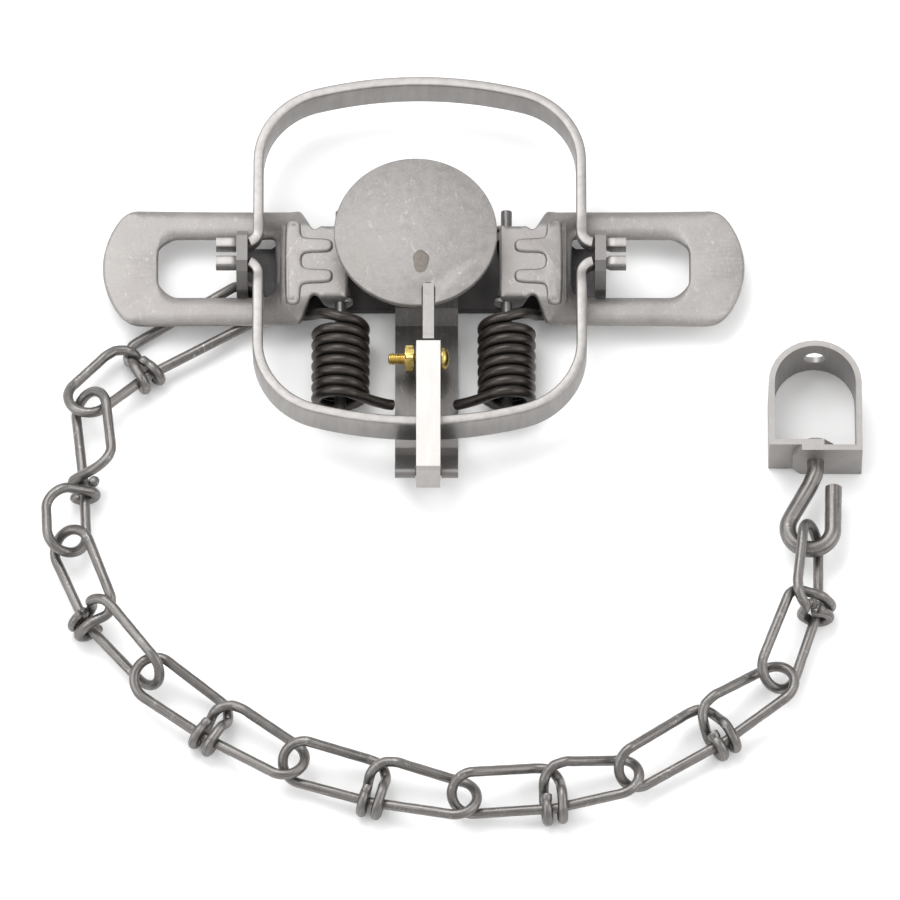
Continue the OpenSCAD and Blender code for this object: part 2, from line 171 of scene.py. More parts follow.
def stamped(name, outer, holes, top, t, rad, drop, lift=lambda x, y: 0.0, cuts=(), steps=7, angle=38):
    """Sheet pressing: flat top, edges rolled down over rad(x, y) in plan by drop(x, y), hollow underneath."""
    bm = bmesh.new()
    tops, unders = [], []
    for k, loop in enumerate([outer] + holes):
        if (area(loop) < 0) == (k == 0):
            loop = loop[::-1]
        # outer runs counter-clockwise, holes clockwise: metal is on the left
        N = normals_in(loop, True)
        rings = []

        def ring(fd, fz):
            r = []
            for (x, y), (nx, ny) in zip(loop, N):
                R, s = rad(x, y), drop(x, y)
                d, z = fd(R, s), fz(R, s)
                xx, yy = x + nx * d, y + ny * d
                r.append(bm.verts.new((xx * MM, yy * MM, z * MM)))
            return r

        rings.append(ring(lambda R, s: max(R, 1.2 * t), lambda R, s: top - t))
        rings.append(ring(lambda R, s: max(R, 1.2 * t) * 0.6 + 0.4 * t, lambda R, s: top - t - 0.25 * max(0.0, s - t)))
        rings.append(ring(lambda R, s: t * 0.98, lambda R, s: top - max(t + 0.05, s) + 0.2))
        rings.append(ring(lambda R, s: t * 0.75, lambda R, s: top - max(t + 0.05, s)))
        rings.append(ring(lambda R, s: 0.15, lambda R, s: top - max(t + 0.05, s)))
        rings.append(ring(lambda R, s: 0.0, lambda R, s: top - max(t + 0.05, s) + 0.2))
        for j in range(steps + 1):
            a = math.pi / 2 * j / steps
            rings.append(ring(lambda R, s, a=a: R * (1 - math.cos(a)),
                              lambda R, s, a=a: top - max(0.55, s - 0.35) * (1 - math.sin(a))))
        for A, B in zip(rings, rings[1:]):
            n = len(A)
            for i in range(n):
                bm.faces.new((A[i], A[(i + 1) % n], B[(i + 1) % n], B[i]))
        unders.append(rings[0])
        tops.append(rings[-1])
    for group in (tops, unders):
        edges = []
        for r in group:
            for i in range(len(r)):
                e = bm.edges.get((r[i], r[(i + 1) % len(r)]))
                edges.append(e)
        bmesh.ops.triangle_fill(bm, use_beauty=True, use_dissolve=False, edges=edges)
    for co, no in cuts:
        bmesh.ops.bisect_plane(bm, geom=bm.verts[:] + bm.edges[:] + bm.faces[:], dist=1e-8, plane_co=[c * MM for c in co], plane_no=no)
    for v in bm.verts:
        v.co.z += lift(v.co.x / MM, v.co.y / MM) * MM
    bmesh.ops.recalc_face_normals(bm, faces=bm.faces)
    me = bpy.data.meshes.new(name)
    bm.to_mesh(me)
    bm.free()
    for p in me.polygons:
        p.use_smooth = True
    me.set_sharp_from_angle(angle=math.radians(angle))
    ob = bpy.data.objects.new(name, me)
    scene.collection.objects.link(ob)
    return ob


def lathe(name, prof, n=40, axis="x", at=(0, 0, 0), angle=30):
    """Turned shape from (distance along axis, radius) pairs."""
    verts, faces = [], []
    for u, r in prof:
        for j in range(n):
            g = 2 * math.pi * j / n
            c, s = r * math.cos(g), r * math.sin(g)
            v = {"x": (u, c, s), "y": (s, u, c), "z": (c, s, u)}[axis]
            verts.append((v[0] + at[0], v[1] + at[1], v[2] + at[2]))
    for i in range(len(prof) - 1):
        for j in range(n):
            faces.append((i * n + j, i * n + (j + 1) % n, (i + 1) * n + (j + 1) % n, (i + 1) * n + j))
    faces.append(tuple(range(n)))
    faces.append(tuple((len(prof) - 1) * n + j for j in range(n - 1, -1, -1)))
    return make(name, verts, faces, angle)


def join(name, obs):
    bm = bmesh.new()
    for o in obs:
        bm.from_mesh(o.data)
    me = bpy.data.meshes.new(name)
    bm.to_mesh(me)
    bm.free()
    for o in obs:
        bpy.data.objects.remove(o)
    ob = bpy.data.objects.new(name, me)
    scene.collection.objects.link(ob)
    return ob


def mirror_x(ob):
    for v in ob.data.vertices:
        v.co.x = -v.co.x
    ob.data.flip_normals()
    return ob


# ---------------------------------------------------------------- materials
def metal(name, dark, light, rough=(0.35, 0.55), metallic=1.0, scale=900, mottle=90, contrast=0.5, bump=0.12,
          streak=None, wire=False, speck=0.0, speck_col=(0.8, 0.78, 0.74), edge=None, tint=None, tint_amt=0.0, tint_scale=45, painted_light_grad=None, lines_amt=0.42):
    """Metal finish: two mottling scales, fine grain in the bump, optional draw lines, scratches, a lighter colour on
    sharp convex edges, and an optional painted light gradient along one axis.
    """
    m = bpy.data.materials.new(name)
    m.use_nodes = True
    nt = m.node_tree
    N, L = nt.nodes, nt.links
    bsdf = N["Principled BSDF"]
    bsdf.inputs["Metallic"].default_value = metallic
    if wire:
        src = N.new("ShaderNodeAttribute")
        src.attribute_name = "wire"
        co = src.outputs["Vector"]
    else:
        src = N.new("ShaderNodeTexCoord")
        co = src.outputs["Object"]

    def mapped(sx, sy, sz):
        mp = N.new("ShaderNodeMapping")
        mp.inputs["Scale"].default_value = (sx, sy, sz)
        L.new(co, mp.inputs["Vector"])
        return mp.outputs["Vector"]

    def noise(vec, sc, det=4, rgh=0.6):
        nz = N.new("ShaderNodeTexNoise")
        nz.inputs["Scale"].default_value = sc
        nz.inputs["Detail"].default_value = det
        nz.inputs["Roughness"].default_value = rgh
        L.new(vec, nz.inputs["Vector"])
        return nz.outputs["Fac"]

    def math_(op, a, b, clamp=False):
        q = N.new("ShaderNodeMath")
        q.operation = op
        q.use_clamp = clamp
        for i, v in enumerate((a, b)):
            if isinstance(v, (int, float)):
                q.inputs[i].default_value = v
            else:
                L.new(v, q.inputs[i])
        return q.outputs[0]

    def ramp(fac, stops):
        r = N.new("ShaderNodeValToRGB")
        r.color_ramp.elements[0].position, r.color_ramp.elements[0].color = stops[0][0], (*stops[0][1], 1)
        r.color_ramp.elements[1].position, r.color_ramp.elements[1].color = stops[-1][0], (*stops[-1][1], 1)
        for p, c in stops[1:-1]:
            el = r.color_ramp.elements.new(p)
            el.color = (*c, 1)
        L.new(fac, r.inputs["Fac"])
        return r.outputs["Color"]

    def mix(fac, a, b, mode="MIX"):
        q = N.new("ShaderNodeMix")
        q.data_type = "RGBA"
        q.blend_type = mode
        if isinstance(fac, (int, float)):
            q.inputs["Factor"].default_value = fac
        else:
            L.new(fac, q.inputs["Factor"])
        for sock, v in (("A", a), ("B", b)):
            i = [s for s in q.inputs if s.name == sock and s.type == "RGBA"][0]
            if isinstance(v, tuple):
                i.default_value = (*v, 1)
            else:
                L.new(v, i)
        return [s for s in q.outputs if s.type == "RGBA"][0]

    base_vec = mapped(1, 1, 1)
    big = noise(base_vec, mottle, 5, 0.65)
    fine = noise(base_vec, scale, 4, 0.7)
    tone = math_("ADD", math_("MULTIPLY", big, 0.62), math_("MULTIPLY", fine, 0.38))
    mid = tuple((a + b) / 2 for a, b in zip(dark, light))
    lo, hi = 0.5 - 0.28 * contrast, 0.5 + 0.28 * contrast
    col = ramp(tone, [(max(0.02, lo - 0.05), dark), (0.5, mid), (min(0.98, hi + 0.05), light)])
    height = fine
    if streak or wire:
        sx, sy, sz = streak or (60, 2600, 2600)
        lines = noise(mapped(sx, sy, sz), 1.0, 3, 0.55)
        col = mix(lines_amt, col, ramp(lines, [(0.34, tuple(c * 0.62 for c in dark)), (0.66, tuple(min(1, c * 1.12) for c in light))]))
        height = math_("ADD", math_("MULTIPLY", fine, 0.4), math_("MULTIPLY", lines, 0.6))
    if tint:
        patch = noise(base_vec, tint_scale, 3, 0.5)
        f = math_("MULTIPLY", math_("SUBTRACT", patch, 0.5, True), 3.2 * tint_amt, True)
        col = mix(f, col, tint)
    # painted light: base colour lightened along one object axis, standing in for how light falls on the part
    if painted_light_grad:
        sep = N.new("ShaderNodeSeparateXYZ")
        L.new(co, sep.inputs[0])
        gr = N.new("ShaderNodeMapRange")
        gr.inputs["From Min"].default_value, gr.inputs["From Max"].default_value = painted_light_grad[1], painted_light_grad[2]
        L.new(sep.outputs[painted_light_grad[0]], gr.inputs["Value"])
        col = mix(math_("MULTIPLY", gr.outputs["Result"], math_("ADD", big, 0.38), True), col, painted_light_grad[3])
    if speck:
        vor = N.new("ShaderNodeTexNoise")
        vor.inputs["Scale"].default_value = 420
        vor.inputs["Detail"].default_value = 6
        vor.inputs["Distortion"].default_value = 2.2
        L.new(mapped(1, 0.55, 1), vor.inputs["Vector"])
        f = math_("MULTIPLY", math_("SUBTRACT", vor.outputs["Fac"], 0.6, True), 9 * speck, True)
        col = mix(f, col, speck_col)
    # lighter colour on sharp convex edges, driven by pointiness
    if edge:
        geo = N.new("ShaderNodeNewGeometry")
        f = math_("MULTIPLY", math_("SUBTRACT", geo.outputs["Pointiness"], 0.52, True), 7.0, True)
        col = mix(math_("MULTIPLY", f, math_("ADD", big, 0.25)), col, edge)
    L.new(col, bsdf.inputs["Base Color"])
    rr = N.new("ShaderNodeMapRange")
    rr.inputs["To Min"].default_value, rr.inputs["To Max"].default_value = rough
    rr.inputs["From Min"].default_value, rr.inputs["From Max"].default_value = 0.3, 0.7
    L.new(tone, rr.inputs["Value"])
    L.new(rr.outputs["Result"], bsdf.inputs["Roughness"])
    bp = N.new("ShaderNodeBump")
    bp.inputs["Strength"].default_value = bump
    bp.inputs["Distance"].default_value = 0.0004
    L.new(height, bp.inputs["Height"])
    L.new(bp.outputs["Normal"], bsdf.inputs["Normal"])
    return m


M = {
    "jaw": metal("jaw_satin", (0.235, 0.225, 0.218), (0.345, 0.33, 0.32), (0.36, 0.5), 1.0, 1400, 120, 0.7, 0.06, streak=(420, 420, 70), lines_amt=0.2, speck=0.12, speck_col=(0.42, 0.402, 0.39)),
    "lever": metal("lever_sheet", (0.2, 0.19, 0.184), (0.38, 0.363, 0.35), (0.42, 0.62), 0.85, 1500, 70, 0.6, 0.16, speck=0.55, speck_col=(0.46, 0.44, 0.425), edge=(0.4, 0.385, 0.375), tint=(0.20, 0.17, 0.172), tint_amt=0.3, tint_scale=60),
    "pan": metal("pan_cast", (0.18, 0.171, 0.165), (0.40, 0.383, 0.37), (0.5, 0.7), 0.8, 1100, 260, 0.8, 0.34, speck=0.5, speck_col=(0.45, 0.435, 0.42), edge=(0.42, 0.405, 0.395), tint=(0.22, 0.192, 0.165), tint_amt=0.25),
    "dog": metal("dog_bright", (0.25, 0.238, 0.23), (0.37, 0.354, 0.343), (0.34, 0.48), 0.9, 1200, 110, 0.6, 0.10, streak=(500, 70, 500), lines_amt=0.3, edge=(0.42, 0.404, 0.392)),
    # frame: painted light, colour lightened from 8 to 15 mm height so the upright tops read lighter
    "frame": metal("frame_dark", (0.034, 0.0325, 0.033), (0.082, 0.079, 0.079), (0.42, 0.62), 0.85, 1200, 90, 0.6, 0.16, speck=0.3, speck_col=(0.2, 0.195, 0.19), edge=(0.16, 0.155, 0.152), painted_light_grad=("Z", 0.008, 0.015, (0.27, 0.257, 0.247))),
    # cross bar: painted light, colour lightened towards the front, from Y -43 to -58 mm
    "bar": metal("bar_grey", (0.06, 0.0575, 0.056), (0.125, 0.12, 0.117), (0.42, 0.6), 0.85, 1200, 80, 0.6, 0.16, streak=(800, 70, 800), speck=0.5, speck_col=(0.26, 0.25, 0.24), edge=(0.22, 0.21, 0.205), painted_light_grad=("Y", -0.043, -0.058, (0.19, 0.182, 0.176))),
    "rod": metal("rod_dark", (0.09, 0.087, 0.085), (0.21, 0.203, 0.198), (0.35, 0.5), 0.9, 1200, 100, 0.5, 0.1),
    "spring": metal("spring_dark", (0.026, 0.022, 0.02), (0.078, 0.068, 0.062), (0.27, 0.44), 0.8, 1500, 140, 0.6, 0.12, wire=True, speck=0.12, speck_col=(0.2, 0.18, 0.16)),
    "chain": metal("chain_wire", (0.085, 0.08, 0.0765), (0.26, 0.248, 0.238), (0.28, 0.46), 0.9, 1500, 180, 0.65, 0.2, wire=True, speck=0.5, speck_col=(0.42, 0.405, 0.39), tint=(0.13, 0.107, 0.1), tint_amt=0.3, tint_scale=90),
    "strap": metal("strap_satin", (0.17, 0.162, 0.157), (0.31, 0.296, 0.287), (0.38, 0.56), 0.85, 1400, 90, 0.6, 0.16, speck=0.5, speck_col=(0.4, 0.385, 0.37), edge=(0.36, 0.345, 0.335), tint=(0.19, 0.165, 0.145), tint_amt=0.25),
    "brass": metal("brass", (0.48, 0.345, 0.085), (0.74, 0.565, 0.185), (0.22, 0.4), 1.0, 1500, 200, 0.5, 0.1, edge=(0.88, 0.74, 0.36)),
    "weld": metal("weld_spot", (0.095, 0.082, 0.068), (0.27, 0.25, 0.228), (0.5, 0.7), 0.7, 1600, 300, 0.7, 0.35),
}


def paint(ob, key):
    ob.data.materials.clear()
    ob.data.materials.append(M[key])
    return ob


def place(ob, key, body, *replaced):
    paint(ob, key)
    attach(ob, body)
    if replaced:
        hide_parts(*replaced)
    return ob


# CAD nodes that show as they are, with softened edges
for n, key, w in (("base_plate", "frame", 0.45), ("cross_bar", "bar", 0.45), ("frame_rivets", "frame", 0.3), ("pan_bracket", "bar", 0.35),
                  ("dog_pin", "rod", 0.3), ("spring_rod_left", "rod", 0.4), ("spring_rod_right", "rod", 0.4), ("dog", "dog", 0.4),
                  ("pan_shank", "pan", 0.4), ("swivel_strap", "strap", 0.45)):
    o = nodes[n]
    o.data.materials.clear()
    o.data.materials.append(M[key])
    b = o.modifiers.new("edge", "BEVEL")
    b.width = w * MM
    b.segments = 3
    b.limit_method = "ANGLE"
    b.angle_limit = math.radians(40)
    b.harden_normals = False

# ---------------------------------------------------------------- jaws
W, CX, RC, RT, YC = 54.0, -1.3, 26.0, 136.0, 33.2
Z0, Z1, HT = 10.8, 23.4, 1.7


def jaw_mesh(name):
    b = math.acos(-(W - RC) / (RT - RC))
    cy = YC - (RT - RC) * math.sin(b)
    half = []
    xs = -W
    for i in range(7):
        half.append((-69.3 - CX + (69.3 - 59.8) * i / 6, 3.4))
    for i in range(1, 9):
        g = math.radians(-90 + 90 * i / 8)
        half.append((xs - 4.5 + 4.5 * math.cos(g), 7.9 + 4.5 * math.sin(g)))
    for i in range(1, 13):
        half.append((xs, 7.9 + (YC - 7.9) * i / 12))
    for i in range(1, 23):
        a = math.pi + (b - math.pi) * i / 22
        half.append((-W + RC + RC * math.cos(a), YC + RC * math.sin(a)))
    for i in range(1, 13):
        a = b + (math.pi / 2 - b) * i / 12
        half.append((RT * math.cos(a), cy + RT * math.sin(a)))
    right = []
    for x, y in half[-2::-1]:
        right.append((-x, y))
    # the right tip is a little shorter, as its upright stands nearer
    pts = half + right
    out = []
    for x, y in pts:
        X = x + CX
        if X > 57.0:
            X = 57.0 + (X - 57.0) * (67.6 - 57.0) / (69.3 + 2 * CX - 57.0)
        out.append((X, y))
    n = len(out)
    verts, faces = [], []
    cr, seg = 0.55, 3
    ring_n = None
    for i, (x, y) in enumerate(out):
        a, c = out[max(i - 1, 0)], out[min(i + 1, n - 1)]
        dx, dy = c[0] - a[0], c[1] - a[1]
        d = math.hypot(dx, dy)
        nx, ny = -dy / d, dx / d
        inner = 1 - sm((abs(x - CX) - 54.6) / 2.2)
        lo = Z0 + (17.8 - Z0) * (1 - sm((y - 5.6) / 12.5))
        hi = Z1 - 1.1 * (1 - sm((y - 6) / 7))
        lo = 17.7 + (lo - 17.7) * inner
        hi = 22.3 + (hi - 22.3) * inner
        th = HT + 0.15 * (1 - inner)
        if (-62.7 < x < -58.6) or (57.0 < x < 61.1):
            lo, hi, th = 18.5, 21.5, 1.45
        ring = []
        for sx, sz, g0 in ((1, 1, 0), (-1, 1, 90), (-1, -1, 180), (1, -1, 270)):
            for k in range(seg + 1):
                g = math.radians(g0 + 90 * k / seg)
                ox = sx * (th - cr) + cr * math.cos(g)
                zz = (hi - cr if sz > 0 else lo + cr) + cr * math.sin(g)
                ring.append((x + nx * ox, y + ny * ox, zz))
        ring_n = len(ring)
        verts += ring
    for i in range(n - 1):
        for j in range(ring_n):
            j2 = (j + 1) % ring_n
            faces.append((i * ring_n + j, i * ring_n + j2, (i + 1) * ring_n + j2, (i + 1) * ring_n + j))
    faces.append(tuple(range(ring_n)))
    faces.append(tuple((n - 1) * ring_n + j for j in range(ring_n - 1, -1, -1)))
    return make(name, verts, faces, 32)


far = place(jaw_mesh("jaw_far_band"), "jaw", "jaw_far", "jaw_far")
near = jaw_mesh("jaw_near_band")
for v in near.data.vertices:
    v.co.y = -v.co.y
near.data.flip_normals()
place(near, "jaw", "jaw_near", "jaw_near")

# ---------------------------------------------------------------- levers
TOP, TH = 10.4, 1.5


def lever_meshes(tag):
    up = [(-25.3, 0), (-25.3, 6), (-25.3, 12.8), (-26.0, 14.1), (-30, 14.2), (-33.6, 14.2), (-34.6, 13.4), (-35.6, 12.3), (-36.8, 12.1), (-37.9, 13.2), (-38.8, 15.6), (-40.2, 19.2), (-41.3, 20.9), (-44, 21.0),
          (-60, 21), (-80, 21.1), (-93, 21.4), (-97.5, 21.2), (-101.2, 18.6), (-104.6, 13.0), (-106.9, 6.0), (-107.5, 0)]
    outline = up + [(x, -y) for x, y in up[-2:0:-1]]
    outer = resample(chaikin(outline, 3), 0.8)
    wn = [(-49.6, 6), (-49.6, 9.4), (-51.2, 10.8), (-56, 10.8), (-80, 10.8), (-84.0, 10.8), (-88.6, 7.0), (-88.8, 4)]
    window = resample(chaikin(wn + [(x, -y) for x, y in wn[::-1]], 3), 0.8)

    def k_rail(x, y):
        return sm((x + 101) / 9) * (1 - sm((x + 45) / 4)) * sm((abs(y) - 6.5) / 4)

    def k_tab(x, y):
        return sm((x + 35.2) / 2.2) * (1 - sm((x + 27.4) / 2.0)) * sm((abs(y) - 10.5) / 3)

    def rad(x, y):
        return 0.9 + 3.5 * k_rail(x, y) + 1.7 * k_tab(x, y)

    def drop(x, y):
        return TH + 0.05 + 0.85 * k_rail(x, y) + 2.6 * k_tab(x, y)

    def lift(x, y):
        return 4.3 * sm((x + 54.5) / 10.5) * (1 - sm((abs(y) - 12.6) / 8.4))

    cuts = [((-54.3 + 0.9 * i, 0, 0), (1, 0, 0)) for i in range(17)] + [((0, 1.6 * i, 0), (0, 1, 0)) for i in range(-12, 13)]
    sheet = stamped("lever_sheet_" + tag, outer, [window], TOP, TH, rad, drop, lift, cuts)

    def pad(nm, loop, h, r):
        loop = resample(chaikin(loop, 3), 0.45)
        if area(loop) < 0:
            loop = loop[::-1]
        N = normals_in(loop, True)
        verts, faces, rings = [], [], 0
        n = len(loop)
        for j in range(6):
            a = math.pi / 2 * j / 5
            for (x, y), (nx, ny) in zip(loop, N):
                d = r * (1 - math.cos(a))
                z = TOP + lift(x, y) - 0.3 + (h + 0.3) * math.sin(a)
                verts.append((x + nx * d, y + ny * d, z))
        for i in range(5):
            for q in range(n):
                faces.append((i * n + q, i * n + (q + 1) % n, (i + 1) * n + (q + 1) % n, (i + 1) * n + q))
        faces.append(tuple(5 * n + q for q in range(n)))
        faces.append(tuple(q for q in range(n - 1, -1, -1)))
        return make(nm, verts, faces, 60)

    parts = [sheet]
    # E-shaped bead with two prongs towards the pan, and a thin raised line beside it
    parts.append(pad("e", [(-46.5, 14.4), (-45.2, 15.8), (-42.4, 15.8), (-41.1, 14.6), (-41.0, 9.6), (-39.8, 8.5), (-32.4, 8.3), (-30.6, 7.4), (-30.2, 5.6), (-30.6, 3.8), (-32.4, 3.0), (-39.4, 2.9), (-40.7, 1.6),
                           (-40.7, -1.6), (-39.4, -2.9), (-32.4, -3.0), (-30.6, -3.8), (-30.2, -5.6), (-30.6, -7.4), (-32.4, -8.3), (-39.8, -8.5), (-41.0, -9.6), (-41.1, -14.6), (-42.4, -15.8), (-45.2, -15.8), (-46.5, -14.4)], 0.85, 1.0))
    parts.append(pad("l", [(-48.1, 14.4), (-47.7, 15.0), (-47.3, 14.4), (-47.3, 0), (-47.3, -14.4), (-47.7, -15.0), (-48.1, -14.4), (-48.1, 0)], 0.35, 0.22))
    # flanges that turn on the spring rod
    for s in (1, -1):
        y0, y1 = (12.6, 14.1) if s > 0 else (-14.1, -12.6)
        prof = [(-27.0, 11.2), (-26.2, 12.9), (-25.4, 13.1), (-24.5, 12.5)]
        for i in range(15):
            g = math.radians(20 - 125 * i / 14)
            prof.append((-27.7 + 4.05 * math.cos(g), 10.5 + 4.05 * math.sin(g)))
        prof += [(-31.4, 7.3), (-33.0, 8.8), (-33.6, 10.2), (-33.3, 11.2)]
        n = len(prof)
        verts, faces = [], []
        cx, cz = -28.6, 10.2
        for y, k in ((y0, 0.93), (y0 + 0.3, 1.0), (y1 - 0.3, 1.0), (y1, 0.93)):
            verts += [(cx + (x - cx) * k, y, cz + (z - cz) * k) for x, z in prof]
        faces = [tuple(range(n)), tuple(range(4 * n - 1, 3 * n - 1, -1))]
        for j in range(3):
            faces += [(j * n + i, j * n + (i + 1) % n, (j + 1) * n + (i + 1) % n, (j + 1) * n + i) for i in range(n)]
        parts.append(make("ear", verts, faces, 45))
    return join("lever_" + tag + "_pressing", parts)


place(lever_meshes("left"), "lever", "lever_left", "lever_left")
place(mirror_x(lever_meshes("right")), "lever", "lever_right", "lever_right")

# ---------------------------------------------------------------- springs
for tag, s in (("left", -1), ("right", 1)):
    y0, p, turns, R, zc, xc = -22.6, 3.9, 7, 8.0, 10.5, 27.7
    path = [(s * x, y, z) for x, y, z in ((46, -15.4, 5.1), (44.2, -15.45, 5.0), (42.5, -15.5, 5.0), (40.9, -15.6, 5.1), (39.4, -15.8, 5.55),
                                          (38.3, -16.1, 6.3), (37.5, -16.55, 7.3), (36.9, -17.0, 8.5), (36.35, -17.5, 9.8))]
    path += [(s * (xc + R * math.cos(math.radians(g))), y0 + 0.054 * (90 - g), zc + R * math.sin(math.radians(g))) for g in range(15, 90, 9)]
    for i in range(turns * 40 + 5):
        g = math.radians(90 + i * 9)
        path.append((s * (xc + R * math.cos(g)), y0 - p * i / 40, zc + R * math.sin(g)))
    ye = y0 - p * turns
    path += [(s * 19.9, ye - 0.42, 14.3), (s * 17.4, ye - 0.35, 12.1), (s * 15.4, ye - 0.2, 10.4), (s * 13.6, ye, 8.9), (s * 12.0, ye + 0.3, 7.45), (s * 10.6 + 0.4, ye + 0.6, 6.3)]
    sp = tube("spring_%s_wire" % tag, catmull(path, 2), 1.8, 18, 0.0, 0.3, 1.3 + s)
    paint(sp, "spring")
    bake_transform(sp)
    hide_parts("spring_" + tag)

# ---------------------------------------------------------------- chain
LINKS = [
    [(-92.2, -38.3), (-54.4, -8.65), (-116.6, -51.7), -1, -1, 0, -11.4, 5.7, 9.5],
    [(-112.8, -79.5), (-111.4, -46.4), (-118.1, -104.5), 1, -1, 45.2, 26.8, 9.5, 9.0],
    [(-111.8, -129.1), (-119.2, -97.5), (-87.5, -151.4), 1, 1, 37.3, 67.5, 9.0, 10.0],
    [(-71.8, -170.3), (-94.4, -146.8), (-40.1, -182.1), 1, 1, 16.0, -14.8, 10.0, 8.6],
    [(-17.2, -193.5), (-46.1, -178.5), (17.5, -194.4), 1, 1, 35.9, -16.0, 8.6, 8.8],
    [(43.2, -195.7), (9.4, -192.0), (71.0, -184.6), 1, 1, 39.8, -16.0, 8.8, 9.8],
    [(99.2, -171.8), (64.9, -186.0), (121.3, -147.9), 1, 1, 43.7, -16.0, 9.8, 8.6],
    [(130.8, -124.0), (115.4, -153.1), (128.4, -95.2), 1, 1, 38.9, 67.7, 8.6, 9.9]]
KZ, WR, CR, CRAD = 5.5, 3.65, 7.2, 1.7


def loop_pts(k, t, side, tilt, zt, mean=None, over=1):
    """One loop of a link. With a mean tilt, its returning leg crosses the other loop's leg and wraps beyond the middle."""
    T = math.radians(tilt)
    h = math.hypot(t[0] - k[0], t[1] - k[1])
    c = CR * math.cos(T)
    L = math.sqrt(h * h - c * c)
    a = math.atan2(t[1] - k[1], t[0] - k[0]) - side * math.atan2(c, L)
    U, V = (math.cos(a), math.sin(a)), (-side * math.sin(a), side * math.cos(a))
    dz = (zt - CR * math.sin(T) - KZ) / L
    def at(u, v, w, A):
        x = math.cos(A) * v - math.sin(A) * w
        return Vector((k[0] + U[0] * u + V[0] * x, k[1] + U[1] * u + V[1] * x, max(CRAD + 0.03, KZ + dz * u + v * math.sin(A) + w * math.cos(A))))

    q = [at((L - CR) * i / 6, 0, 0, T) for i in range(1, 7)]
    q += [at(L - CR + CR * math.sin(math.pi * i / 16), CR - CR * math.cos(math.pi * i / 16), 0, T) for i in range(1, 16)]
    if mean is None:
        q += [at((L - CR) + (9.8 - L + CR) * i / 5, 2 * CR, 0, T) for i in range(6)]
        for i in range(1, 10):
            b = math.radians(i * 10)
            q.append(at(9.8 - CR * math.sin(b), CR + CR * math.cos(b), WR * sm(i / 9), T))
        q.append(at(2.6, 4.0, WR, T))
        q += [at(2.6, WR * math.cos(math.radians(90 + i * 12.5)), WR * math.sin(math.radians(90 + i * 12.5)), T) for i in range(19)]
        return q
    Tm, wc, u0 = math.radians(mean), -1.9 * over, 4.7
    A, B = at(L - CR, 2 * CR, 0, T), at(u0 + 1.0, 2 * CR - 0.1, wc, Tm)
    q += [A + (B - A) * (i / 7) for i in range(8)]

    def leg_w(v):
        return wc + (WR * over - wc) * sm((10.2 - v) / 6.4)

    for i in range(2, 10):
        b = math.radians(i * 10)
        v = CR + CR * math.cos(b)
        q.append(at(u0 - CR * math.sin(b), v, leg_w(v), Tm))
    q.append(at(u0 - CR - 0.15, 5.4, leg_w(5.4), Tm))
    q.append(at(u0 - CR - 0.25, 3.4, WR * over, Tm))
    for i in range(17 if over > 0 else 22):
        g = math.radians(90 + i * 12.5)
        q.append(at(u0 - CR - 0.25 + 0.02 * i, WR * math.cos(g), over * WR * math.sin(g), Tm))
    if over < 0:
        q.append(at(u0 - CR + 0.3, 2.6, WR - 0.25, Tm))
        q.append(at(u0 - CR + 0.5, 4.6, WR - 0.4, Tm))
    return q


for i, l in enumerate(LINKS):
    mean = (l[5] + l[6]) / 2 if l[3] == l[4] else None
    pts = loop_pts(l[0], l[1], -l[3], l[5], l[7], mean, 1)[::-1] + [(l[0][0], l[0][1], KZ)] + loop_pts(l[0], l[2], l[4], l[6], l[8], mean, -1)
    place(tube("chain_link_%d_wire" % (i + 1), catmull(pts, 3), CRAD, 16, 0.010, 0.3, 0.7 * i), "chain", "link_%d" % (i + 1), "chain_link_%d" % (i + 1))

# ---------------------------------------------------------------- swivel eye
EX, EZ, ER, EW = 130.3, 9.2, 7.5, 2.8
CXE, CYE = 128.4, -96.0
path = [(EX, -65.0 - 1.2 * i, EZ) for i in range(9)]
path += [(EX - 0.35, -76.4, EZ), (EX - 1.25, -78.7, EZ)]
path += [(128.2 - 5.5 * i / 7, -80.7 - 10.0 * i / 7, EZ) for i in range(8)]
for i in range(26):
    g = math.radians(157 + (356 - 157) * i / 25)
    path.append((CXE + ER * math.cos(g), CYE + ER * math.sin(g), EZ))
path += [(CXE + ER + 0.05 * i, CYE + 1.2 + 2.05 * i, EZ) for i in range(8)]
eye = tube("swivel_eye_rod", catmull(path, 3), EW, 22, 0.006, 0.5, 3.3)
head = lathe("head", [(-67.15, 4.4), (-66.8, 4.9), (-65.7, 5.0), (-64.9, 4.7), (-64.45, 3.9), (-64.4, 2.2)], 36, "y", (EX, 0, EZ), 40)
place(head, "strap", "eye")
place(eye, "chain", "eye", "swivel_eye")
head.name = "swivel_eye_head"

# ---------------------------------------------------------------- pan
PR, PX, PY, PT, PH = 27.2, -2.7, 5.0, 27.1, 2.6
MX, SLW, SLY = 1.6, 2.05, -14.0
loop = []
a0 = math.asin((MX + SLW - PX) / PR)
a1 = math.asin((MX - SLW - PX) / PR)
start, end = -math.pi / 2 + a0, 2 * math.pi - math.pi / 2 + a1
for i in range(181):
    g = start + (end - start) * i / 180
    loop.append((PX + PR * math.cos(g), PY + PR * math.sin(g)))
for i in range(1, 9):
    loop.append((MX - SLW, loop[180][1] + (SLY - SLW - loop[180][1]) * i / 8))
for i in range(1, 8):
    g = math.pi - math.pi * i / 8
    loop.append((MX + SLW * math.cos(g), SLY - SLW + SLW * math.sin(g)))
for i in range(8, 0, -1):
    loop.append((MX + SLW, loop[0][1] + (SLY - SLW - loop[0][1]) * i / 8))
N = normals_in(loop, True)
verts, faces = [], []
prof = [(0.5, -PH), (0.12, -PH + 0.15), (0.0, -PH + 0.5), (0.0, -0.6), (0.12, -0.22), (0.45, 0.0)]
n = len(loop)
for d, z in prof:
    for (x, y), (nx, ny) in zip(loop, N):
        verts.append((x + nx * d, y + ny * d, PT + z))
